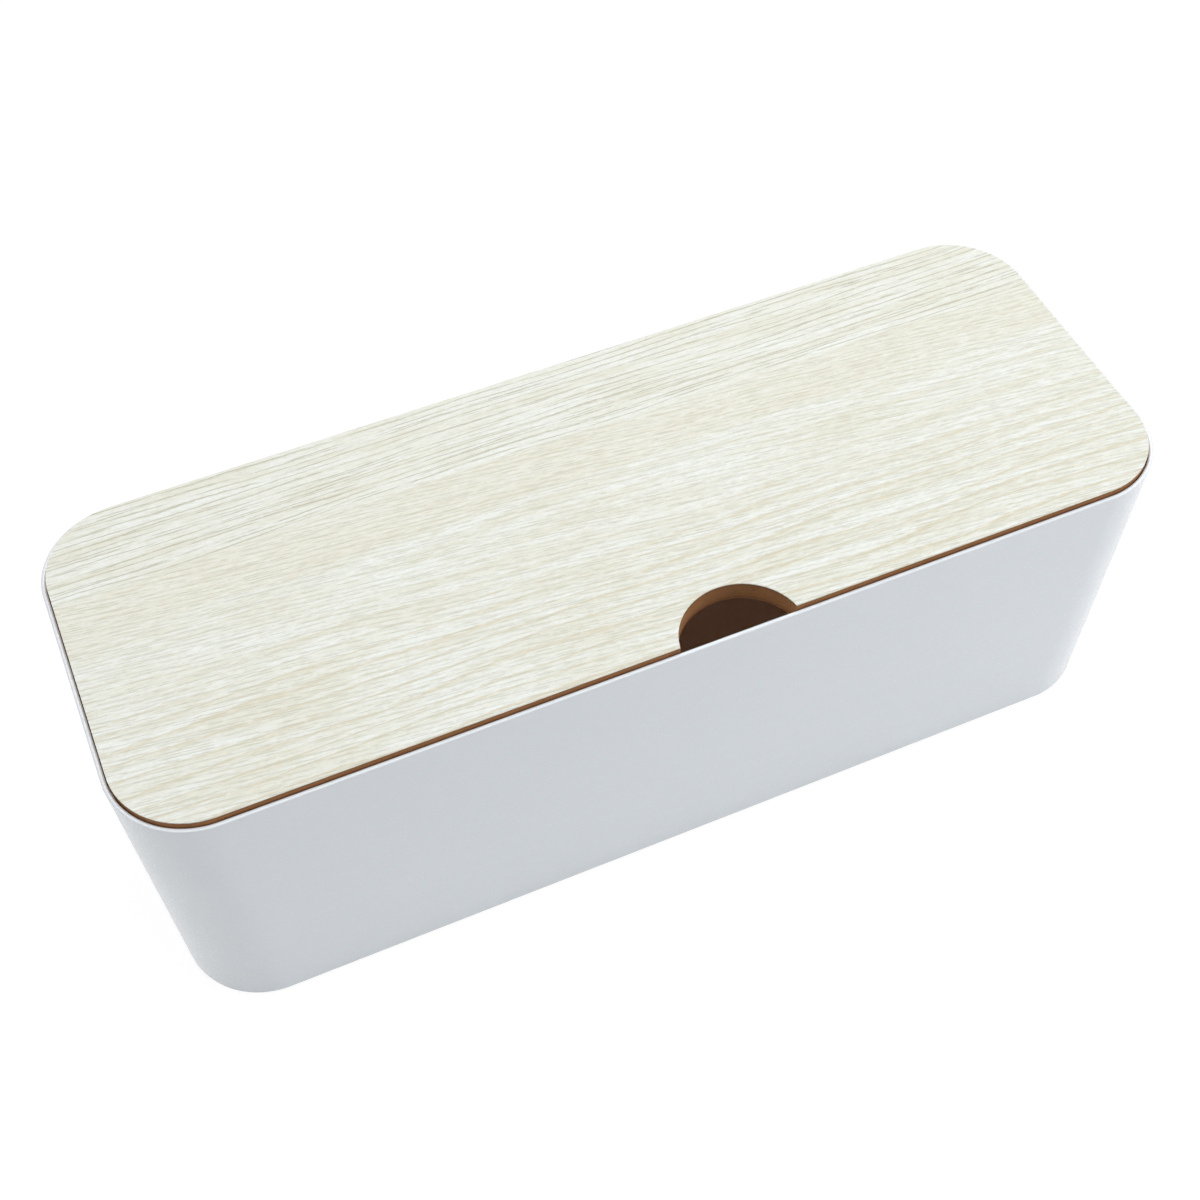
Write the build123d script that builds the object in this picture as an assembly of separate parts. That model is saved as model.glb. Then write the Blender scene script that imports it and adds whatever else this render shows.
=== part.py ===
"""Cable management box: a white moulded tray that hides a power strip, and a wood-faced lid that lifts off.

Millimetres, +Z up. The origin is the middle of the footprint, on the surface that the box stands on.
+X runs along the box, and -Y is the side where the lid has its notch.
"""

import os
from math import cos, radians, sin, tan

from build123d import *

# Tray
rim_length = 400.0
rim_width = 147.1
rim_corner_radius = 31.6
tray_height = 131.4
wall_draft = 2.0
rim_thickness = 1.8
wall_thickness = 3.2
floor_thickness = 2.8
rim_outer_rounding = 0.9
rim_inner_bevel = 0.4
base_edge_radius = 1.5
inner_floor_radius = 5.0

# Ribs on the long walls and the end walls, which carry the lid with the wall's seat
rib_thickness = 2.0
rib_depth = 3.5
long_wall_rib_pitch = 100.0
long_wall_rib_count = 4
end_wall_rib_spacing = 76.0

# Cable port in each end wall
port_width = 52.0
port_height = 30.0
port_corner_radius = 12.0
port_centre_height = 34.0
port_edge_bevel = 0.8

# Underside of the tray: a recessed panel inside a standing ring, with a boss for each foot
base_ring_width = 12.0
base_recess_depth = 0.8
foot_boss_wall = 3.0
foot_inset_x = 24.0
foot_inset_y = 22.0
foot_recess_depth = 1.0

# Round rubber foot
foot_diameter = 12.0
foot_thickness = 2.5
foot_clearance = 0.3
foot_edge_bevel = 0.5

# Lid
lid_clearance = 0.4
lid_proud = 2.1
board_thickness = 7.6
top_sheet_thickness = 0.4
backing_sheet_thickness = 0.3
top_edge_easing = 0.15

# Notch: an arc whose centre lies outside the lid's front edge
notch_radius = 22.7
notch_centre_outside = 4.3
notch_offset = 17.6

# Solids that stand on their own base
STANDING = (Align.CENTER, Align.CENTER, Align.MIN)

# Heights above the surface that the box stands on
base_z = foot_thickness - foot_recess_depth
rim_z = base_z + tray_height
lid_top_z = rim_z + lid_proud
board_top_z = lid_top_z - top_sheet_thickness
board_bottom_z = board_top_z - board_thickness
seat_z = board_bottom_z - backing_sheet_thickness
floor_z = base_z + floor_thickness
port_z = base_z + port_centre_height

# Plan sizes that follow from the rim
lid_inset = rim_thickness + lid_clearance
lid_length = rim_length - 2 * lid_inset
lid_width = rim_width - 2 * lid_inset
lid_corner_radius = rim_corner_radius - lid_inset
base_inset = tray_height * tan(radians(wall_draft))
base_length = rim_length - 2 * base_inset
base_width = rim_width - 2 * base_inset

# Middles of the feet
foot_x = base_length / 2 - foot_inset_x
foot_y = base_width / 2 - foot_inset_y
foot_places = {
    "foot_front_left": (-foot_x, -foot_y),
    "foot_front_right": (foot_x, -foot_y),
    "foot_back_left": (-foot_x, foot_y),
    "foot_back_right": (foot_x, foot_y),
}


def rounded_plate(length, width, corner_radius, bottom_z, thickness):
    """Level plate with a rounded-rectangle plan, centred on the origin."""
    plan = Plane.XY.offset(bottom_z) * RectangleRounded(length, width, corner_radius)
    return extrude(plan, amount=thickness)


def drafted_block(length, width, corner_radius, top_z, depth):
    """Block that narrows downwards by the wall draft, its upright edges rounded to one radius all the way."""
    top = Plane.XY.offset(top_z)
    block = extrude(top * Rectangle(length, width), amount=-depth)
    block = draft(block.faces().filter_by(Axis.Z, reverse=True), top, -wall_draft)
    levels = block.edges().group_by(Axis.Z)
    return fillet(block.edges() - levels[0] - levels[-1], corner_radius)


def outer_form():
    """Tray's outside as a solid: rounded rim above, and a small radius round the base."""
    block = drafted_block(rim_length, rim_width, rim_corner_radius, rim_z, tray_height)
    block = fillet(block.faces().sort_by(Axis.Z)[0].edges(), base_edge_radius)
    return fillet(block.faces().sort_by(Axis.Z)[-1].edges(), rim_outer_rounding)


def lid_pocket():
    """Recess that the lid drops into: its bottom is the seat round the wall and the tops of the ribs."""
    length = rim_length - 2 * rim_thickness
    width = rim_width - 2 * rim_thickness
    return rounded_plate(length, width, rim_corner_radius - rim_thickness, seat_z, rim_z - seat_z)


def rib_slots():
    """Upright slots in the core that shapes the inside: each leaves one rib on a wall."""
    wall_x = rim_length / 2 - wall_thickness
    wall_y = rim_width / 2 - wall_thickness
    height = rim_z - floor_z
    middle_z = (rim_z + floor_z) / 2
    long_wall_slot = Box(rib_thickness, 2 * rib_depth, height)
    end_wall_slot = Box(2 * rib_depth, rib_thickness, height)
    first_x = -long_wall_rib_pitch * (long_wall_rib_count - 1) / 2
    slots = []
    for side in (-1, 1):
        for index in range(long_wall_rib_count):
            x = first_x + index * long_wall_rib_pitch
            slots.append(Pos(x, side * wall_y, middle_z) * long_wall_slot)
        for y in (-end_wall_rib_spacing / 2, end_wall_rib_spacing / 2):
            slots.append(Pos(side * wall_x, y, middle_z) * end_wall_slot)
    return slots


def inner_form():
    """Hollow below the lid: drafted as the outside is, rounded to the floor, with the ribs left standing."""
    hollow = drafted_block(
        rim_length - 2 * wall_thickness,
        rim_width - 2 * wall_thickness,
        rim_corner_radius - wall_thickness,
        rim_z,
        tray_height - floor_thickness,
    )
    hollow = fillet(hollow.faces().sort_by(Axis.Z)[0].edges(), inner_floor_radius)
    return hollow - rib_slots()


def cable_port(side):
    """Plug of the shape of one cable port, square to the end wall that it goes through."""
    wall_x = rim_length / 2 - (rim_z - port_z) * tan(radians(wall_draft))
    outward = Vector(side * cos(radians(wall_draft)), 0, -sin(radians(wall_draft)))
    wall = Plane(origin=(side * wall_x, 0, port_z), x_dir=(0, 1, 0), z_dir=outward)
    outline = wall * RectangleRounded(port_width, port_height, port_corner_radius)
    return extrude(outline, amount=2 * wall_thickness, both=True)


def base_recess():
    """Shallow panel under the floor, with a standing boss round each foot."""
    length = base_length - 2 * base_ring_width
    width = base_width - 2 * base_ring_width
    panel = rounded_plate(length, width, rim_corner_radius - base_ring_width, base_z, base_recess_depth)
    boss = Cylinder(foot_diameter / 2 + foot_clearance + foot_boss_wall, 2 * base_recess_depth)
    return panel - [Pos(x, y, base_z) * boss for x, y in foot_places.values()]


def foot_seats():
    """Round recesses that the feet are glued into."""
    seat = Cylinder(foot_diameter / 2 + foot_clearance, foot_recess_depth, align=STANDING)
    return [Pos(x, y, base_z) * seat for x, y in foot_places.values()]


def make_tray():
    """One moulding: walls, rim, lid seat with ribs, cable ports and the underside that holds the feet."""
    tray = outer_form() - lid_pocket()
    rim = tray.faces().sort_by(Axis.Z)[-1]
    tray = chamfer(rim.inner_wires().edges(), rim_inner_bevel)
    tray -= inner_form()
    for side in (-1, 1):
        port = cable_port(side)
        walls = tray
        tray = walls - port
        tray = chamfer(new_edges(walls, port, combined=tray), port_edge_bevel)
    return tray - base_recess() - foot_seats()


def lid_layer(bottom_z, thickness):
    """One layer of the lid: the lid's outline less the notch."""
    layer = rounded_plate(lid_length, lid_width, lid_corner_radius, bottom_z, thickness)
    notch = Cylinder(notch_radius, thickness, align=STANDING)
    return layer - Pos(notch_offset, -lid_width / 2 - notch_centre_outside, bottom_z) * notch


def make_lid_board():
    """Fibreboard core, cut square and left raw on its edges."""
    return lid_layer(board_bottom_z, board_thickness)


def make_lid_top_sheet():
    """Wood-grain sheet on the board's top, its upper edge eased."""
    sheet = lid_layer(board_top_z, top_sheet_thickness)
    return chamfer(sheet.faces().sort_by(Axis.Z)[-1].edges(), top_edge_easing)


def make_lid_backing_sheet():
    """Plain balancing sheet under the board, which rests on the tray's seat and ribs."""
    return lid_layer(seat_z, backing_sheet_thickness)


def make_foot(x, y):
    """Rubber disc with a bevelled lower edge, glued into its recess."""
    disc = Cylinder(foot_diameter / 2, foot_thickness, align=STANDING)
    disc = chamfer(disc.faces().sort_by(Axis.Z)[0].edges(), foot_edge_bevel)
    return Pos(x, y, 0) * disc


nodes = {
    "tray": make_tray(),
    "lid_board": make_lid_board(),
    "lid_top_sheet": make_lid_top_sheet(),
    "lid_backing_sheet": make_lid_backing_sheet(),
}
for name, (x, y) in foot_places.items():
    nodes[name] = make_foot(x, y)

os.makedirs("parts", exist_ok=True)
for name, shape in nodes.items():
    export_step(shape, f"parts/{name}.step")
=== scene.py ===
"""Cable management box: a white moulded tray on rubber feet, and a wood-faced lid that lifts off.

Metres, +Z up, but each mesh is drawn in millimetres. The origin is the middle of the footprint, on the
surface that the box stands on. +X runs along the box, and -Y is the side where the lid has its notch.
"""

from math import acos, atan2, cos, hypot, pi, radians, sin, tan

import bmesh
import bpy
from mathutils import Matrix, Vector


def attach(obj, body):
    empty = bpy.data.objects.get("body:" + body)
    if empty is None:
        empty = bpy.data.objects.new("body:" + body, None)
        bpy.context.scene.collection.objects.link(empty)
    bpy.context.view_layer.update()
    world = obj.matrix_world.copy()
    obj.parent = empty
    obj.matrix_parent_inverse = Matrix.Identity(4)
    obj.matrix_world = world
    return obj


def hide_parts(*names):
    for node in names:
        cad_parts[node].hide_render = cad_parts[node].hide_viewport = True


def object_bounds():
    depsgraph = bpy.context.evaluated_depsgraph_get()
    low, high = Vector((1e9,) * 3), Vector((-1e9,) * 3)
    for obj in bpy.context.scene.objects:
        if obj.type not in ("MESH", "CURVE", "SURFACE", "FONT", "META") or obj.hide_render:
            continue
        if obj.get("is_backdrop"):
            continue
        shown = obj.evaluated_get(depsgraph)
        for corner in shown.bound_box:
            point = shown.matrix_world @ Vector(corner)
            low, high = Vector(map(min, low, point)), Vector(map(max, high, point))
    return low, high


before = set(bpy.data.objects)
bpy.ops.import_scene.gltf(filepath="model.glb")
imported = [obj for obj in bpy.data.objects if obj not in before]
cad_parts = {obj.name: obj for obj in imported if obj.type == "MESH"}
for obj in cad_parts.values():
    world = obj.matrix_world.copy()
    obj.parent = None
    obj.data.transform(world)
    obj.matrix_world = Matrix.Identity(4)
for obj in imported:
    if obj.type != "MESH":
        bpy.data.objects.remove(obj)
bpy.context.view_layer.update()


# ---------------------------------------------------------------------------------------------------
# Tray. One injection moulding in white polypropylene, with a fine spark-eroded skin.
# The walls lean out by the mould's draft, a seat and ribs inside the rim carry the lid,
# and each end wall has a rounded port for the leads.

rim_length, rim_width, rim_height = 399.96, 147.06, 132.9
rim_corner_radius = 31.6
rim_thickness, wall_thickness = 1.8, 3.2
rim_rounding, rim_inner_rounding = 0.5, 0.9
wall_draft = radians(2)
base_height, floor_height, seat_height = 1.5, 4.3, 126.7
base_rounding, floor_rounding = 1.5, 5.0
rib_thickness, rib_depth = 2.0, 3.5
long_wall_ribs, end_wall_ribs = (-150, -50, 50, 150), (-38, 38)
port_width, port_height, port_corner_radius, port_rounding = 52.0, 30.0, 12.0, 0.8
port_middle_above_base = 34.0
ring_width, panel_depth = 12.0, 0.8
boss_radius, foot_seat_radius, foot_seat_depth = 9.3, 6.3, 1.0
foot_inset_x, foot_inset_y = 24.0, 22.0

metres = 0.001
port_middle = base_height + port_middle_above_base
base_inset = (rim_height - base_height) * tan(wall_draft)
base_length, base_width = rim_length - 2 * base_inset, rim_width - 2 * base_inset
foot_x, foot_y = base_length / 2 - foot_inset_x, base_width / 2 - foot_inset_y
foot_places = {
    "front_left": (-foot_x, -foot_y),
    "front_right": (foot_x, -foot_y),
    "back_left": (-foot_x, foot_y),
    "back_right": (foot_x, foot_y),
}


def round_corners(length, width, corner_radius):
    """The four corner arcs of a rounded rectangle, in order.
    Each is (middle, radius, first angle, last angle)."""
    x, y = length / 2 - corner_radius, width / 2 - corner_radius
    quarter = pi / 2
    return [
        (middle, corner_radius, turn * quarter, (turn + 1) * quarter)
        for turn, middle in enumerate(((x, y), (-x, y), (-x, -y), (x, -y)))
    ]


weld_distance = 1e-3


def outline(mesh, arcs, height=0.0, arc_step=radians(3)):
    """Level face bounded by arcs and the straight lines that join them."""
    ends, made = [], set(mesh.edges)
    for (x, y), radius, first, last in arcs:
        start = mesh.verts.new((x + radius * cos(first), y + radius * sin(first), height))
        spun = bmesh.ops.spin(
            mesh, geom=[start], cent=(x, y, height), axis=(0, 0, 1), angle=last - first,
            steps=max(2, round(abs(last - first) / arc_step)), use_duplicate=False,
        )
        ends.append((start, spun["geom_last"][0]))
    for (_, end), (start, _) in zip(ends, ends[1:] + ends[:1]):
        mesh.edges.new((end, start))
    border = [edge for edge in mesh.edges if edge not in made]
    verts = list(dict.fromkeys(vert for edge in border for vert in edge.verts))
    bmesh.ops.remove_doubles(mesh, verts=verts, dist=weld_distance)
    border = [edge for edge in mesh.edges if edge not in made]
    return bmesh.ops.contextual_create(mesh, geom=border)["faces"][0]


def draw_in(mesh, verts, inset):
    """Moves each corner of a ring towards the middle, so that the corner's radius stays."""
    for side_x in (-1, 1):
        for side_y in (-1, 1):
            corner = [v for v in verts if v.co.x * side_x > 0 and v.co.y * side_y > 0]
            bmesh.ops.translate(mesh, vec=(-side_x * inset, -side_y * inset, 0), verts=corner)


def push_face(mesh, face, rise, inset=0.0):
    """Extrudes a level face up or down, draws its outline in, and returns the new face.
    A lone face stays, as the other end of the block."""
    lone = len(mesh.faces) == 1
    made = bmesh.ops.extrude_face_region(mesh, geom=[face])["geom"]
    if not lone:
        bmesh.ops.delete(mesh, geom=[face], context="FACES_ONLY")
    verts = [part for part in made if isinstance(part, bmesh.types.BMVert)]
    bmesh.ops.translate(mesh, vec=(0, 0, rise), verts=verts)
    draw_in(mesh, verts, inset)
    return next(part for part in made if isinstance(part, bmesh.types.BMFace))


def round_edges(mesh, edges, radius, steps):
    """Rounds edges to a radius."""
    bmesh.ops.bevel(
        mesh, geom=edges, offset=radius, offset_type="OFFSET", segments=steps,
        profile=0.5, affect="EDGES", material=-1, clamp_overlap=True,
    )


def wall_face(mesh, run, place, side, facing):
    """The tallest face of one wall at a place along it. Run is 0 for a long wall and 1 for an end wall,
    and facing is 1 for the wall's outside and -1 for its inside."""
    mesh.normal_update()
    across = 1 - run
    nearly_square_on = 0.99
    found = {}
    for face in mesh.faces:
        along = [v.co[run] for v in face.verts]
        heights = [v.co.z for v in face.verts]
        on_side = face.calc_center_median()[across] * side > 0
        square_on = face.normal[across] * side * facing > nearly_square_on
        if on_side and square_on and min(along) < place < max(along):
            found[max(heights) - min(heights)] = face
    return found[max(found)]


def cut_face(mesh, face, point, direction):
    """Divides one face along a plane."""
    geom = [face, *face.edges, *face.verts]
    bmesh.ops.bisect_plane(mesh, geom=geom, dist=weld_distance / 10, plane_co=point, plane_no=direction)


def raise_rib(mesh, run, place, side):
    """Raises one upright rib from an inner wall. Its face is upright, so it runs out where the wall has
    leant in to it."""
    across = 1 - run
    along = Vector((1 - run, run, 0))
    for edge_place in (place - rib_thickness / 2, place + rib_thickness / 2):
        cut_face(mesh, wall_face(mesh, run, edge_place, side, -1), along * edge_place, along)
    foot_height = rim_height - rib_depth / tan(wall_draft)
    cut_face(mesh, wall_face(mesh, run, place, side, -1), (0, 0, foot_height), (0, 0, 1))
    strip = wall_face(mesh, run, place, side, -1)
    made = bmesh.ops.extrude_face_region(mesh, geom=[strip])["geom"]
    bmesh.ops.delete(mesh, geom=[strip], context="FACES_ONLY")
    verts = [part for part in made if isinstance(part, bmesh.types.BMVert)]
    rib_face = side * ((rim_length, rim_width)[across] / 2 - wall_thickness - rib_depth)
    flat = [1.0, 1.0, 1.0]
    flat[across] = 0.0
    middle = Vector((0, 0, 0))
    middle[across] = rib_face
    bmesh.ops.scale(mesh, vec=flat, space=Matrix.Translation(-middle), verts=verts)
    bmesh.ops.remove_doubles(mesh, verts=mesh.verts[:], dist=weld_distance)


def port_ring(mesh, side, grow, depth):
    """One ring of a cable port's edge, parallel to its end wall and some way into it."""
    arcs = round_corners(port_width + 2 * grow, port_height + 2 * grow, port_corner_radius + grow)
    face = outline(mesh, arcs)
    wall_x = side * (rim_length / 2 - (rim_height - port_middle) * tan(wall_draft))
    across = Vector((0, side, 0))
    up = Vector((side * sin(wall_draft), 0, cos(wall_draft)))
    outward = across.cross(up)
    place = Matrix((across, up, outward)).transposed().to_4x4()
    place.translation = Vector((wall_x, 0, port_middle)) - outward * depth
    bmesh.ops.transform(mesh, matrix=place, verts=face.verts)
    ring = list(face.edges)
    bmesh.ops.delete(mesh, geom=[face], context="FACES_ONLY")
    return ring


def fill_round(mesh, face, rings):
    """Replaces a flat face by the same face with holes in it."""
    border = list(face.edges)
    normal = face.normal.copy()
    bmesh.ops.delete(mesh, geom=[face], context="FACES_ONLY")
    for ring in rings:
        border += ring
    bmesh.ops.triangle_fill(mesh, use_beauty=True, use_dissolve=False, edges=border, normal=normal)


def cut_port(mesh, side):
    """Opens one cable port: a tunnel through the end wall with both its edges rounded."""
    through = wall_thickness * cos(wall_draft)
    turns = [radians(angle) for angle in (0, 22.5, 45, 67.5, 90)]
    lip = [(port_rounding * (1 - sin(turn)), port_rounding * (1 - cos(turn))) for turn in turns]
    profile = lip + [(grow, through - depth) for grow, depth in reversed(lip)]
    rings = [port_ring(mesh, side, grow, depth) for grow, depth in profile]
    for ring, following in zip(rings, rings[1:]):
        bmesh.ops.bridge_loops(mesh, edges=ring + following)
    fill_round(mesh, wall_face(mesh, 1, 0, side, 1), [rings[0]])
    fill_round(mesh, wall_face(mesh, 1, 0, side, -1), [rings[-1]])


def circle(mesh, radius, x, y, z, steps=48):
    """Ring of edges, level."""
    verts = bmesh.ops.create_circle(
        mesh, cap_ends=False, segments=steps, radius=radius, matrix=Matrix.Translation((x, y, z))
    )["verts"]
    return list(dict.fromkeys(edge for vert in verts for edge in vert.link_edges))


def panel_arcs():
    """Outline of the sunk panel: a rounded rectangle whose corners step in round the boss of each foot."""
    arcs = []
    length, width = base_length - 2 * ring_width, base_width - 2 * ring_width
    for (x, y), radius, first, last in round_corners(length, width, rim_corner_radius - ring_width):
        boss = (foot_x if x > 0 else -foot_x, foot_y if y > 0 else -foot_y)
        apart = hypot(boss[0] - x, boss[1] - y)
        to_boss = atan2(boss[1] - y, boss[0] - x) % (2 * pi)
        half_bite = acos((radius**2 + apart**2 - boss_radius**2) / (2 * radius * apart))
        half_boss = acos((boss_radius**2 + apart**2 - radius**2) / (2 * boss_radius * apart))
        arcs.append(((x, y), radius, first, to_boss - half_bite))
        arcs.append((boss, boss_radius, to_boss + pi + half_boss, to_boss + pi - half_boss))
        arcs.append(((x, y), radius, to_boss + half_bite, last))
    return arcs


def shape_underside(mesh, base):
    """Sinks the panel inside the standing ring, and sinks a round seat for each foot into its boss."""
    mouth, sunk = (outline(mesh, panel_arcs(), base_height + depth) for depth in (0, panel_depth))
    bmesh.ops.bridge_loops(mesh, edges=list(mouth.edges) + list(sunk.edges))
    holes = [list(mouth.edges)]
    bmesh.ops.delete(mesh, geom=[mouth], context="FACES_ONLY")
    for x, y in foot_places.values():
        edge = circle(mesh, foot_seat_radius, x, y, base_height)
        end = circle(mesh, foot_seat_radius, x, y, base_height + foot_seat_depth)
        bmesh.ops.bridge_loops(mesh, edges=edge + end)
        bmesh.ops.edgeloop_fill(mesh, edges=end)
        holes.append(edge)
    fill_round(mesh, base, holes)


def level_edges(mesh, height, facing):
    """The ring of edges at a height where a level face meets a wall that faces out (1) or in (-1)."""
    mesh.normal_update()
    least_wall, same_height = 5.0, 0.01
    found = []
    for edge in mesh.edges:
        if all(abs(v.co.z - height) < same_height for v in edge.verts):
            for face in edge.link_faces:
                middle = face.calc_center_median()
                heights = [v.co.z for v in face.verts]
                outward = face.normal.dot(Vector((middle.x, middle.y, 0)))
                if max(heights) - min(heights) > least_wall and outward * facing > 0:
                    found.append(edge)
    return list(dict.fromkeys(found))


def finish_piece(mesh, name):
    """Makes the object of a mesh drawn in millimetres: closed, facing out, and smooth but for its
    sharp edges."""
    bmesh.ops.remove_doubles(mesh, verts=mesh.verts[:], dist=weld_distance)
    bmesh.ops.recalc_face_normals(mesh, faces=mesh.faces[:])
    bmesh.ops.scale(mesh, vec=(metres, metres, metres), verts=mesh.verts[:])
    data = bpy.data.meshes.new(name)
    mesh.to_mesh(data)
    mesh.free()
    data.shade_smooth()
    data.set_sharp_from_angle(angle=radians(40))
    piece = bpy.data.objects.new(name, data)
    bpy.context.scene.collection.objects.link(piece)
    shading = piece.modifiers.new("flat faces stay flat", "WEIGHTED_NORMAL")
    shading.keep_sharp = True
    return piece


tray_mesh = bmesh.new()
base = outline(tray_mesh, round_corners(base_length, base_width, rim_corner_radius), base_height)
rim = push_face(tray_mesh, base, rim_height - base_height, -base_inset)
bmesh.ops.inset_region(tray_mesh, faces=[rim], thickness=rim_thickness, use_even_offset=True)
pocket = push_face(tray_mesh, rim, seat_height - rim_height)
seat_width = wall_thickness - rim_thickness
bmesh.ops.inset_region(tray_mesh, faces=[pocket], thickness=seat_width, use_even_offset=True)
draw_in(tray_mesh, pocket.verts, (rim_height - seat_height) * tan(wall_draft))
push_face(tray_mesh, pocket, floor_height - seat_height, (seat_height - floor_height) * tan(wall_draft))
bmesh.ops.recalc_face_normals(tray_mesh, faces=tray_mesh.faces[:])
shape_underside(tray_mesh, base)
round_edges(tray_mesh, level_edges(tray_mesh, floor_height, -1), floor_rounding, steps=6)
round_edges(tray_mesh, level_edges(tray_mesh, base_height, 1), base_rounding, steps=5)
round_edges(tray_mesh, level_edges(tray_mesh, rim_height, 1), rim_rounding, steps=4)
round_edges(tray_mesh, level_edges(tray_mesh, rim_height, -1), rim_inner_rounding, steps=5)
for side in (-1, 1):
    for place in long_wall_ribs:
        raise_rib(tray_mesh, 0, place, side)
    for place in end_wall_ribs:
        raise_rib(tray_mesh, 1, place, side)
    cut_port(tray_mesh, side)
tray = finish_piece(tray_mesh, "moulded_tray")
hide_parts("tray")
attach(tray, "tray")


def place_node(tree, kind, inputs=(), **settings):
    """Adds one node. Settings are its own, and inputs give each socket a value or the output that
    feeds it."""
    made = tree.nodes.new(kind)
    for name, value in settings.items():
        setattr(made, name, value)
    for socket, value in dict(inputs).items():
        if isinstance(value, bpy.types.NodeSocket):
            tree.links.new(value, made.inputs[socket])
        else:
            made.inputs[socket].default_value = value
    return made


def new_group(name, inputs, outputs):
    """Shader node group with named inputs and outputs, as (group, its inputs, its outputs)."""
    group = bpy.data.node_groups.new(name, "ShaderNodeTree")
    for socket, (kind, value) in inputs.items():
        made = group.interface.new_socket(socket, in_out="INPUT", socket_type=kind)
        if value is not None:
            made.default_value = value
    for socket, kind in outputs.items():
        group.interface.new_socket(socket, in_out="OUTPUT", socket_type=kind)
    return group, group.nodes.new("NodeGroupInput").outputs, group.nodes.new("NodeGroupOutput").inputs


def noise(tree, place, scale, detail=2.0, roughness=0.5, distortion=0.0):
    """Noise over the surface, as its factor."""
    return place_node(
        tree, "ShaderNodeTexNoise",
        {"Vector": place, "Scale": scale, "Detail": detail, "Roughness": roughness, "Distortion": distortion},
    ).outputs["Fac"]


def spread(tree, value, low, high, to_low=0.0, to_high=1.0, smooth=False):
    """Carries a value from one range to another, and stops at its ends."""
    return place_node(
        tree, "ShaderNodeMapRange",
        {"Value": value, "From Min": low, "From Max": high, "To Min": to_low, "To Max": to_high},
        interpolation_type="SMOOTHSTEP" if smooth else "LINEAR",
    ).outputs["Result"]


def work_out(tree, operation, first, second=0.0, third=0.0):
    """One sum on two or three values."""
    return place_node(tree, "ShaderNodeMath", {0: first, 1: second, 2: third}, operation=operation).outputs[0]


def mix_colours(tree, share, first, second):
    """Lays the second colour over the first. The numbers are the mix node's sockets for colours."""
    return place_node(tree, "ShaderNodeMix", {0: share, 6: first, 7: second}, data_type="RGBA").outputs[2]


def tint(red, green, blue):
    """Opaque colour."""
    return (red, green, blue, 1)


def new_material(piece, name, **finish):
    """Gives the piece a material, and returns its tree, its shader and the place on the piece in metres.
    Finish holds the values of the shader's own sockets, with _ for a space."""
    material = bpy.data.materials.new(name)
    material.use_nodes = True
    tree = material.node_tree
    shader = tree.nodes["Principled BSDF"]
    for socket, value in finish.items():
        shader.inputs[socket.replace("_", " ")].default_value = value
    piece.data.materials.append(material)
    place = place_node(tree, "ShaderNodeTexCoord").outputs["Object"]
    return tree, shader, place


def raise_grain(tree, shader, height, millimetres):
    """Turns a height over the surface, from 0 to 1, into the shader's normal."""
    bump = place_node(
        tree, "ShaderNodeBump", {"Height": height, "Distance": millimetres * metres, "Strength": 1.0}
    )
    tree.links.new(bump.outputs["Normal"], shader.inputs["Normal"])


def upward_part(tree, vector):
    """Z of a place, which is its height in metres, or of a direction."""
    return place_node(tree, "ShaderNodeSeparateXYZ", {"Vector": vector}).outputs["Z"]


def moulded_skin_group():
    """Skin that a mould leaves: the fine pits of its spark-eroded steel over the slow waves of shrinkage."""
    group, given, result = new_group(
        "moulded_skin",
        {
            "Place": ("NodeSocketVector", None),
            "Pits per metre": ("NodeSocketFloat", 2600.0),
            "Roughness": ("NodeSocketFloat", 0.45),
            "Roughness spread": ("NodeSocketFloat", 0.05),
        },
        {"Height": "NodeSocketFloat", "Roughness": "NodeSocketFloat", "Shrinkage": "NodeSocketFloat"},
    )
    waves_per_metre, wave_height = 22.0, 0.6
    pits = noise(group, given["Place"], given["Pits per metre"], detail=2.0, roughness=0.6)
    waves = noise(group, given["Place"], waves_per_metre, detail=1.0)
    height = work_out(group, "MULTIPLY_ADD", waves, wave_height, pits)
    swing = work_out(group, "SUBTRACT", pits, 0.5)
    roughness = work_out(group, "MULTIPLY_ADD", swing, given["Roughness spread"], given["Roughness"])
    group.links.new(height, result["Height"])
    group.links.new(roughness, result["Roughness"])
    group.links.new(waves, result["Shrinkage"])
    return group


moulded_skin = moulded_skin_group()


def give_skin(tree, place, pits_per_metre, roughness, roughness_spread):
    """Places the moulded skin in a material, and returns its outputs."""
    return place_node(
        tree, "ShaderNodeGroup",
        {
            "Place": place, "Pits per metre": pits_per_metre,
            "Roughness": roughness, "Roughness spread": roughness_spread,
        },
        node_tree=moulded_skin,
    ).outputs


thick_white, thin_white = tint(0.828, 0.872, 0.915), tint(0.814, 0.862, 0.905)
tree, shader, place = new_material(tray, "white_moulded_plastic", IOR=1.5, Emission_Strength=1.0)
skin = give_skin(tree, place, pits_per_metre=2400.0, roughness=0.26, roughness_spread=0.1)
white_plastic = mix_colours(tree, skin["Shrinkage"], thick_white, thin_white)
tree.links.new(white_plastic, shader.inputs["Base Color"])
raise_grain(tree, shader, skin["Height"], 0.02)

# The mould's halves meet round the rim, where the steel is polished.
polished_from, polished_to, polished_share = rim_height - 2.0, rim_height - 0.7, 0.5
height = upward_part(tree, place)
polish = spread(
    tree, height, polished_from * metres, polished_to * metres,
    to_low=1.0, to_high=polished_share, smooth=True,
)
tree.links.new(work_out(tree, "MULTIPLY", skin["Roughness"], polish), shader.inputs["Roughness"])

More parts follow.
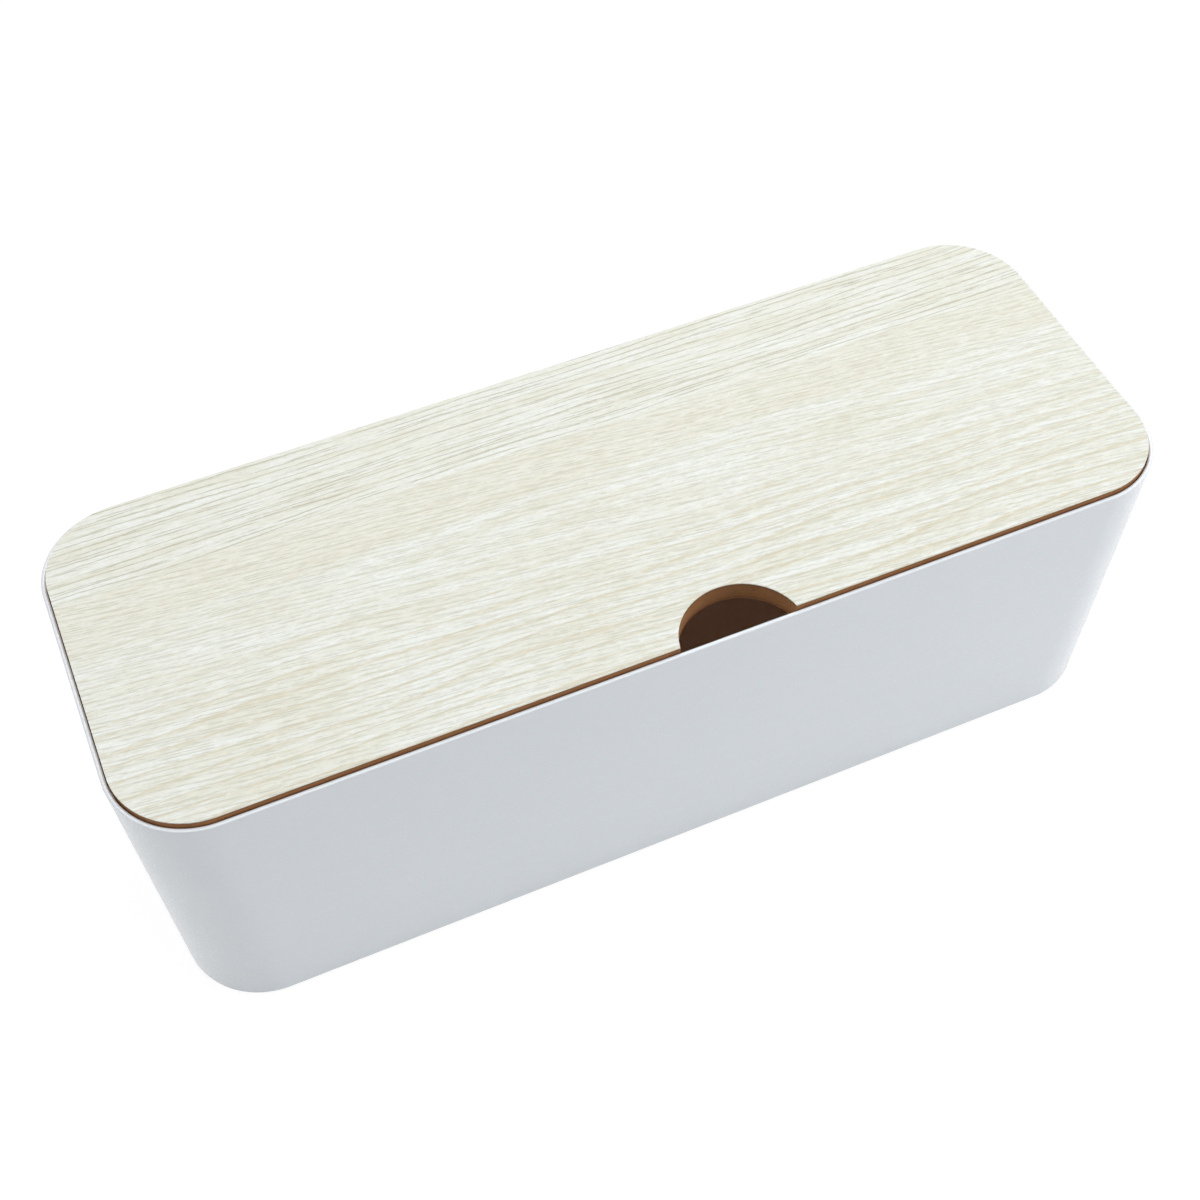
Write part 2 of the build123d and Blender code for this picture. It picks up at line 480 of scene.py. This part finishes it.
# Painted light: a faint warm glow is painted on the floor inside, where it faces up and lies low. It stands
# in for the warm light that the walls let through.
painted_inner_glow, no_glow = tint(0.023, 0.0065, 0.0), tint(0, 0, 0)
glow_up_to = 14.0
facing_up = upward_part(tree, place.node.outputs["Normal"])
level = spread(tree, facing_up, 0.2, 0.9)
low = spread(tree, height, glow_up_to * metres, (glow_up_to - 5) * metres)
glow = mix_colours(tree, work_out(tree, "MULTIPLY", level, low), no_glow, painted_inner_glow)
tree.links.new(glow, shader.inputs["Emission Color"])


# ---------------------------------------------------------------------------------------------------
# Feet. Four discs of soft grey rubber, each glued into its round seat under a corner of the tray.
# The lower edge is eased, and the face that grips has a shallow dish moulded in it.

foot_radius, foot_height, foot_easing = 6.0, 2.5, 0.5
dish_ring, dish_depth = 1.4, 0.25

feet = []
for corner, (x, y) in foot_places.items():
    foot_mesh = bmesh.new()
    halves = [((x, y), foot_radius, 0, pi), ((x, y), foot_radius, pi, 2 * pi)]
    sole = outline(foot_mesh, halves, arc_step=radians(5))
    edge = list(sole.edges)
    push_face(foot_mesh, sole, foot_height)
    round_edges(foot_mesh, edge, foot_easing, steps=4)
    foot_mesh.normal_update()
    sole = min(foot_mesh.faces, key=lambda face: face.calc_center_median().z)
    bmesh.ops.inset_region(foot_mesh, faces=[sole], thickness=dish_ring, use_even_offset=True)
    push_face(foot_mesh, sole, dish_depth)
    foot = finish_piece(foot_mesh, "rubber_foot_" + corner)
    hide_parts("foot_" + corner)
    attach(foot, "tray")
    feet.append(foot)

dark_rubber, pale_rubber = tint(0.47, 0.47, 0.46), tint(0.54, 0.54, 0.53)
tree, shader, place = new_material(feet[0], "grey_rubber")
skin = give_skin(tree, place, pits_per_metre=1800.0, roughness=0.78, roughness_spread=0.2)
tree.links.new(skin["Roughness"], shader.inputs["Roughness"])
dusty_rubber = mix_colours(tree, skin["Shrinkage"], dark_rubber, pale_rubber)
tree.links.new(dusty_rubber, shader.inputs["Base Color"])
raise_grain(tree, shader, skin["Height"], 0.05)
for foot in feet[1:]:
    foot.data.materials.append(feet[0].data.materials[0])


# ---------------------------------------------------------------------------------------------------
# Backing sheet. Brown kraft paper, pressed on the board's underside in the same press as the top
# sheet, so that the board stays flat. It rests on the tray's seat and ribs.

lid_clearance = 0.4
lid_inset = rim_thickness + lid_clearance
lid_length, lid_width = rim_length - 2 * lid_inset, rim_width - 2 * lid_inset
lid_corner_radius = rim_corner_radius - lid_inset
notch_offset, notch_centre_outside, notch_radius = 17.6, 4.3, 22.7
backing_thickness = 0.3


def lid_layer(bottom, thickness):
    """Mesh of one layer of the lid, as (mesh, its top face): a rounded rectangle less the notch in its
    front edge."""
    mesh = bmesh.new()
    arcs = round_corners(lid_length, lid_width, lid_corner_radius)
    mouth = acos(-notch_centre_outside / notch_radius) - pi / 2
    notch = ((notch_offset, -lid_width / 2 - notch_centre_outside), notch_radius, pi - mouth, mouth)
    face = outline(mesh, arcs[:3] + [notch] + arcs[3:], bottom)
    return mesh, push_face(mesh, face, thickness)


backing = finish_piece(lid_layer(seat_height, backing_thickness)[0], "backing_paper")
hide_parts("lid_backing_sheet")
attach(backing, "lid")


def pressed_fibre_group():
    """Matted fibres under pressure: fine hairs, clumps that took the glue unevenly, and a few dark specks."""
    group, given, result = new_group(
        "pressed_fibre",
        {"Place": ("NodeSocketVector", None), "Fibres per metre": ("NodeSocketFloat", 1500.0)},
        {"Fibres": "NodeSocketFloat", "Clumps": "NodeSocketFloat", "Specks": "NodeSocketFloat"},
    )
    clumps_per_metre, specks_per_metre = 160.0, 900.0
    fibres = noise(
        group, given["Place"], given["Fibres per metre"], detail=3.0, roughness=0.65, distortion=1.2
    )
    clumps = noise(group, given["Place"], clumps_per_metre, detail=3.0, roughness=0.6)
    specks = spread(group, noise(group, given["Place"], specks_per_metre, detail=1.0), 0.68, 0.76)
    for socket, value in (("Fibres", fibres), ("Clumps", clumps), ("Specks", specks)):
        group.links.new(value, result[socket])
    return group


pressed_fibre = pressed_fibre_group()


def give_fibre(tree, place, fibres_per_metre):
    """Places the pressed fibre in a material, and returns its outputs."""
    return place_node(
        tree, "ShaderNodeGroup", {"Place": place, "Fibres per metre": fibres_per_metre},
        node_tree=pressed_fibre,
    ).outputs


dark_paper, pale_paper = tint(0.50, 0.205, 0.050), tint(0.60, 0.275, 0.078)
paper_clump, paper_speck = tint(0.36, 0.15, 0.040), tint(0.20, 0.085, 0.025)
tree, shader, place = new_material(backing, "kraft_paper", Roughness=0.8)
fibre = give_fibre(tree, place, fibres_per_metre=700.0)
paper = mix_colours(tree, fibre["Fibres"], dark_paper, pale_paper)
paper = mix_colours(tree, spread(tree, fibre["Clumps"], 0.35, 0.7, to_high=0.35), paper, paper_clump)
paper = mix_colours(tree, fibre["Specks"], paper, paper_speck)
tree.links.new(paper, shader.inputs["Base Color"])
raise_grain(tree, shader, fibre["Fibres"], 0.04)


# ---------------------------------------------------------------------------------------------------
# Board. Medium-density fibreboard, sawn to the lid's outline and left raw on its edges.
# It is pressed harder towards its two faces, so the edge is darker and closer there.

board_bottom, board_thickness = 127.0, 7.6

board = finish_piece(lid_layer(board_bottom, board_thickness)[0], "fibreboard_core")
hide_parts("lid_board")
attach(board, "lid")

dark_dust, pale_dust = tint(0.345, 0.148, 0.052), tint(0.46, 0.215, 0.082)
dust_clump, dust_speck = tint(0.265, 0.112, 0.037), tint(0.20, 0.085, 0.028)
dense_dust, dense_share = tint(0.21, 0.086, 0.028), 0.65
open_core = 4.4
tree, shader, place = new_material(board, "raw_fibreboard", Roughness=0.85)
fibre = give_fibre(tree, place, fibres_per_metre=1300.0)
board_middle = board_bottom + board_thickness / 2
from_middle = work_out(tree, "SUBTRACT", upward_part(tree, place), board_middle * metres)
from_middle = work_out(tree, "ABSOLUTE", from_middle)
dense = spread(tree, from_middle, open_core / 2 * metres, board_thickness / 2 * metres, smooth=True)
wood_dust = mix_colours(tree, fibre["Fibres"], dark_dust, pale_dust)
wood_dust = mix_colours(tree, spread(tree, fibre["Clumps"], 0.35, 0.7, to_high=0.4), wood_dust, dust_clump)
wood_dust = mix_colours(tree, work_out(tree, "MULTIPLY", dense, dense_share), wood_dust, dense_dust)
wood_dust = mix_colours(tree, fibre["Specks"], wood_dust, dust_speck)
tree.links.new(wood_dust, shader.inputs["Base Color"])
raise_grain(tree, shader, fibre["Fibres"], 0.12)


# ---------------------------------------------------------------------------------------------------
# Top sheet. Melamine-faced paper printed as pale ash and pressed with its open pores, glued on the board.
# The router that cut the outline left its upper edge eased.

sheet_bottom, sheet_thickness, sheet_easing = 134.6, 0.4, 0.15

sheet_mesh, sheet_top = lid_layer(sheet_bottom, sheet_thickness)
round_edges(sheet_mesh, list(sheet_top.edges), sheet_easing, steps=2)
sheet = finish_piece(sheet_mesh, "wood_grain_top")
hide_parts("lid_top_sheet")
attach(sheet, "lid")

tree, shader, place = new_material(sheet, "pale_ash_laminate", Specular_IOR_Level=0.3)


def drawn_out(tree, place, along, across, turn=0.0, shift=0.0):
    """Place on the sheet for a pattern whose patches are so many millimetres along the grain and
    across it."""
    return place_node(
        tree, "ShaderNodeMapping",
        {
            "Vector": place, "Rotation": (0, 0, turn), "Location": (shift, shift, 0),
            "Scale": (along * metres, across * metres, 1),
        },
        vector_type="TEXTURE",
    ).outputs["Vector"]


def off_middle(tree, value, middle=0.5):
    """How far a value is from its middle."""
    return work_out(tree, "SUBTRACT", value, middle)


def grain_lines_group():
    """Hair lines along the grain, some way apart. They drift, fade in and out, and their edges are frayed."""
    group, given, result = new_group(
        "grain_lines",
        {
            "Place": ("NodeSocketVector", None),
            "Spacing": ("NodeSocketFloat", 0.004),
            "Width": ("NodeSocketFloat", 0.0005),
            "Fraying": ("NodeSocketFloat", 0.1),
            "Length": ("NodeSocketFloat", 0.034),
            "Share": ("NodeSocketFloat", 0.5),
            "Start": ("NodeSocketFloat", 0.0),
        },
        {"Lines": "NodeSocketFloat", "Growth": "NodeSocketFloat"},
    )
    drift_share, patch_width, first_shown, all_shown = 1.6, 3.2, 0.95, 1.07
    start = place_node(group, "ShaderNodeCombineXYZ", {"X": given["Start"], "Y": given["Start"]})
    place = place_node(
        group, "ShaderNodeVectorMath", {0: given["Place"], 1: start.outputs["Vector"]}, operation="ADD"
    ).outputs["Vector"]
    across = place_node(group, "ShaderNodeSeparateXYZ", {"Vector": place}).outputs["Y"]
    drift = off_middle(group, noise(group, drawn_out(group, place, along=90, across=9), 1.0))
    fray = off_middle(group, noise(group, drawn_out(group, place, along=3.5, across=1.2), 1.0, roughness=0.7))
    turns = work_out(group, "DIVIDE", across, given["Spacing"])
    turns = work_out(group, "MULTIPLY_ADD", drift, drift_share, turns)
    turns = work_out(group, "MULTIPLY_ADD", fray, given["Fraying"], turns)
    from_line = work_out(group, "MULTIPLY", work_out(group, "PINGPONG", turns, 0.5), given["Spacing"])
    line = spread(group, from_line, given["Width"], 0.0, smooth=True)
    reach = place_node(
        group, "ShaderNodeCombineXYZ", {"X": given["Length"], "Y": patch_width * metres, "Z": 1.0}
    ).outputs["Vector"]
    patches = place_node(
        group, "ShaderNodeMapping", {"Vector": place, "Scale": reach}, vector_type="TEXTURE"
    ).outputs["Vector"]
    patches = noise(group, patches, 1.0, detail=3.0, roughness=0.6)
    kept = spread(group, work_out(group, "ADD", patches, given["Share"]), first_shown, all_shown)
    group.links.new(work_out(group, "MULTIPLY", line, kept), result["Lines"])
    group.links.new(work_out(group, "FRACT", turns), result["Growth"])
    return group


grain_lines = grain_lines_group()


def lines_of(place, spacing, width, length, fraying, share, start):
    """One set of grain lines on the sheet, in millimetres. Share is the part of their length that shows.
    Growth runs from 0 at one line to 1 at the next."""
    return place_node(
        tree, "ShaderNodeGroup",
        {
            "Place": place, "Spacing": spacing * metres, "Width": width * metres, "Length": length * metres,
            "Fraying": fraying, "Share": share, "Start": start,
        },
        node_tree=grain_lines,
    ).outputs


def lay_over(ground, mask, colour, share):
    """Lays a colour on the sheet's ground, as strongly as its share where the mask is 1."""
    return mix_colours(tree, work_out(tree, "MULTIPLY", mask, share), ground, colour)


# The grain wanders a little across the sheet.
wander_width = 9.0
wander = off_middle(tree, noise(tree, drawn_out(tree, place, along=170, across=50), 1.0))
axes = place_node(tree, "ShaderNodeSeparateXYZ", {"Vector": place}).outputs
across_grain = work_out(tree, "MULTIPLY_ADD", wander, wander_width * metres, axes["Y"])
grain_place = place_node(
    tree, "ShaderNodeCombineXYZ", {"X": axes["X"], "Y": across_grain}
).outputs["Vector"]


def zone(start, end):
    """Part of the sheet that sets in across the grain between two lines, in millimetres from its middle."""
    return spread(tree, across_grain, start * metres, end * metres, smooth=True)


# The log was cut so that the sheet shows close straight grain along its back, then a plain band,
# then a cloudy middle, and broad rings along its front.
back, not_back = zone(33, 37), zone(37, 33)
band = work_out(tree, "MULTIPLY", not_back, zone(8, 18))
front = zone(-4, -34)

# Ground: cream and white in long cloudy streaks, and whiter from each broad ring towards the next.
cream, white, warm = tint(0.825, 0.823, 0.718), tint(0.905, 0.935, 0.895), tint(0.835, 0.815, 0.695)
streak_shade, streak_light = tint(0.755, 0.74, 0.60), tint(0.92, 0.95, 0.92)
streak_middle = 0.48
ring_lines = lines_of(grain_place, spacing=6.1, width=0.85, length=70, fraying=0.20, share=0.72, start=1.7)
clouds = noise(
    tree, drawn_out(tree, grain_place, along=60, across=5.5, shift=0.31), 1.0, detail=4.0, roughness=0.6
)
growth_strength = spread(tree, front, 0, 1, to_low=-0.05, to_high=-0.16)
clouds = work_out(tree, "MULTIPLY_ADD", off_middle(tree, ring_lines["Growth"]), growth_strength, clouds)
ground = mix_colours(tree, spread(tree, clouds, 0.37, 0.60), cream, white)
ground = lay_over(ground, band, warm, share=0.55)
streaks = noise(
    tree, drawn_out(tree, grain_place, along=20, across=1.4, shift=0.53), 1.0, detail=3.0, roughness=0.65
)
streak_strength = spread(tree, front, 0, 1, to_low=1.0, to_high=0.6)
streaks = off_middle(tree, streaks, streak_middle)
streaks = work_out(tree, "MULTIPLY_ADD", streaks, streak_strength, streak_middle)
ground = mix_colours(tree, spread(tree, streaks, 0.50, 0.68, to_high=0.30), ground, streak_shade)
ground = mix_colours(tree, spread(tree, streaks, 0.46, 0.30, to_high=0.38), ground, streak_light)

# Broad rings: tan lines about 6 mm apart, and tan spots between them.
ring_tan, spot_tan = tint(0.72, 0.65, 0.475), tint(0.80, 0.68, 0.50)
rings = work_out(tree, "MULTIPLY", ring_lines["Lines"], front)
ground = lay_over(ground, rings, ring_tan, share=0.68)
tan_spots = noise(tree, drawn_out(tree, grain_place, along=9, across=1.6, shift=0.77), 1.0, detail=3.0)
tan_spots = work_out(tree, "MULTIPLY", spread(tree, tan_spots, 0.60, 0.70), not_back)
ground = lay_over(ground, tan_spots, spot_tan, share=0.35)

# Close straight grain: grey-brown hair lines in two sets that run through each other.
hair_brown = tint(0.54, 0.52, 0.41)
hairs = work_out(
    tree, "MAXIMUM",
    lines_of(grain_place, spacing=2.7, width=0.40, length=24, fraying=0.20, share=0.57, start=0.9)["Lines"],
    lines_of(grain_place, spacing=4.3, width=0.40, length=34, fraying=0.16, share=0.54, start=2.3)["Lines"],
)
hair_strength = spread(tree, back, 0, 1, to_low=0.16, to_high=0.95)
ground = mix_colours(tree, work_out(tree, "MULTIPLY", hairs, hair_strength), ground, hair_brown)

# Open pores: short strokes pressed into the sheet, which slant to the grain but along the back.
slant, pore_grey = radians(7), tint(0.55, 0.54, 0.425)
slant_place = place_node(
    tree, "ShaderNodeMapping", {"Vector": grain_place, "Rotation": (0, 0, slant)}
).outputs["Vector"]
strokes = work_out(
    tree, "MAXIMUM",
    lines_of(slant_place, spacing=1.9, width=0.36, length=8, fraying=0.26, share=0.545, start=3.1)["Lines"],
    lines_of(slant_place, spacing=2.7, width=0.40, length=11, fraying=0.24, share=0.535, start=4.7)["Lines"],
)
stroke_strength = spread(tree, back, 0, 1, to_low=1.0, to_high=0.25)
strokes = work_out(tree, "MULTIPLY", strokes, stroke_strength)
ground = lay_over(ground, strokes, pore_grey, share=0.50)

# Fine fibres and speckle between the lines.
fibre_shade, fibre_light = tint(0.65, 0.64, 0.52), tint(0.945, 0.965, 0.935)
speckle_grey = tint(0.69, 0.68, 0.575)
fibres = noise(
    tree, drawn_out(tree, grain_place, along=5.5, across=0.9, turn=radians(-4), shift=0.19), 1.0,
    detail=3.0, roughness=0.65,
)
ground = mix_colours(tree, spread(tree, fibres, 0.50, 0.68, to_high=0.34), ground, fibre_shade)
ground = mix_colours(tree, spread(tree, fibres, 0.48, 0.34, to_high=0.42), ground, fibre_light)
speckle = noise(
    tree, drawn_out(tree, place, along=1.6, across=0.9, shift=0.43), 1.0, detail=2.0, roughness=0.7
)
ground = mix_colours(tree, spread(tree, speckle, 0.45, 0.70, to_high=0.30), ground, speckle_grey)
tree.links.new(ground, shader.inputs["Base Color"])

# The lines are pressed in, and a little rougher than the face.
face_roughness, line_roughness = 0.78, 0.9
pressed_in = work_out(tree, "MAXIMUM", work_out(tree, "MULTIPLY", hairs, back), rings)
pressed_in = work_out(tree, "MAXIMUM", pressed_in, strokes)
roughness = spread(tree, pressed_in, 0, 1, to_low=face_roughness, to_high=line_roughness)
tree.links.new(roughness, shader.inputs["Roughness"])
raise_grain(tree, shader, work_out(tree, "SUBTRACT", 1.0, pressed_in), 0.08)


# ---------------------------------------------------------------------------------------------------
# Floor. A plain white sweep under the box. To the eye and in gloss it glows nearly white,
# more so away from the box, and the rest is lit by the lamps, which leave the soft shadow.

floor_data = bmesh.new()
bmesh.ops.create_grid(floor_data, x_segments=1, y_segments=1, size=6)
floor_mesh = bpy.data.meshes.new("floor")
floor_data.to_mesh(floor_mesh)
floor_data.free()
floor = bpy.data.objects.new("floor", floor_mesh)
bpy.context.scene.collection.objects.link(floor)
floor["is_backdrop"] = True


def seen_directly(tree):
    """1 for the camera's own rays and for those that gloss and glass pass on, else 0."""
    sight = place_node(tree, "ShaderNodeLightPath").outputs
    straight = work_out(tree, "MAXIMUM", sight["Is Camera Ray"], sight["Is Glossy Ray"])
    return work_out(tree, "MAXIMUM", straight, sight["Is Transmission Ray"])


glow_near, glow_far, glow_strength = 0.86, 1.0, 1.08
tree, shader, place = new_material(
    floor, "white_sweep", Base_Color=tint(0.9, 0.9, 0.9), Roughness=0.9, Specular_IOR_Level=0.0
)
glow = place_node(tree, "ShaderNodeEmission", {"Color": tint(1, 1, 1), "Strength": glow_strength}).outputs[0]
from_box = place_node(tree, "ShaderNodeVectorMath", {0: place}, operation="LENGTH").outputs["Value"]
glow_share = spread(tree, from_box, 0.6, 1.6, to_low=glow_near, to_high=glow_far, smooth=True)
glow_share = work_out(tree, "MULTIPLY", seen_directly(tree), glow_share)
lit = place_node(tree, "ShaderNodeMixShader", {0: glow_share, 1: shader.outputs[0], 2: glow}).outputs[0]
tree.links.new(lit, tree.nodes["Material Output"].inputs["Surface"])


# ---------------------------------------------------------------------------------------------------
# Light. White walls all round, which give the box little light but show white in its gloss,
# and broad soft boxes above, behind and on both sides.

world = bpy.data.worlds.new("studio")
bpy.context.scene.world = world
world.use_nodes = True
tree = world.node_tree
room = tree.nodes["Background"]
room.inputs["Color"].default_value = tint(1, 1, 1)
room_light, room_seen = 0.1, 1.0
room_strength = spread(tree, seen_directly(tree), 0, 1, to_low=room_light, to_high=room_seen)
tree.links.new(room_strength, room.inputs["Strength"])


def soft_box(name, place, target, width, height, watts):
    """Rectangular soft box of white light that faces a point."""
    lamp = bpy.data.lights.new(name, "AREA")
    lamp.shape = "RECTANGLE"
    lamp.size, lamp.size_y = width, height
    lamp.energy = watts
    box = bpy.data.objects.new(name, lamp)
    box.location = place
    box.rotation_euler = (Vector(target) - Vector(place)).to_track_quat("-Z", "Y").to_euler()
    bpy.context.scene.collection.objects.link(box)


soft_box("overhead", (0, -0.1, 2.0), (0, 0, 0.1), width=1.6, height=0.8, watts=17.0)
soft_box("back_high", (0.55, 1.2, 1.8), (0.55, 0, 0.1), width=2.0, height=0.5, watts=14.4)
soft_box("front_right", (1.5, -1.4, 0.8), (0, 0, 0.06), width=2.0, height=1.3, watts=17.5)
soft_box("left", (-2.0, 0, 0.7), (0, 0, 0.06), width=1.2, height=1.0, watts=7.9)
soft_box("right_high", (1.5, 0, 1.5), (0, 0, 0.06), width=1.2, height=1.0, watts=7.0)


# ---------------------------------------------------------------------------------------------------
# Camera. Raised in front of the box and a little to its left, and looking steeply down at it.
# It is rolled by about one degree.

camera_data = bpy.data.cameras.new("camera")
camera_data.sensor_width = 36
camera_data.lens = 54.2
camera_data.clip_start, camera_data.clip_end = 0.05, 30
camera = bpy.data.objects.new("camera", camera_data)
right = Vector((0.91763332, -0.39708023, -0.01662469))
forward = Vector((0.22951529, 0.56362084, -0.79350758))
camera.matrix_world = Matrix((right, right.cross(forward), -forward)).transposed().to_4x4()
camera.location = (-0.16624, -0.39639, 0.63500)
bpy.context.scene.collection.objects.link(camera)
bpy.context.scene.camera = camera

bpy.context.scene.view_settings.view_transform = "Standard"

low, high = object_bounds()
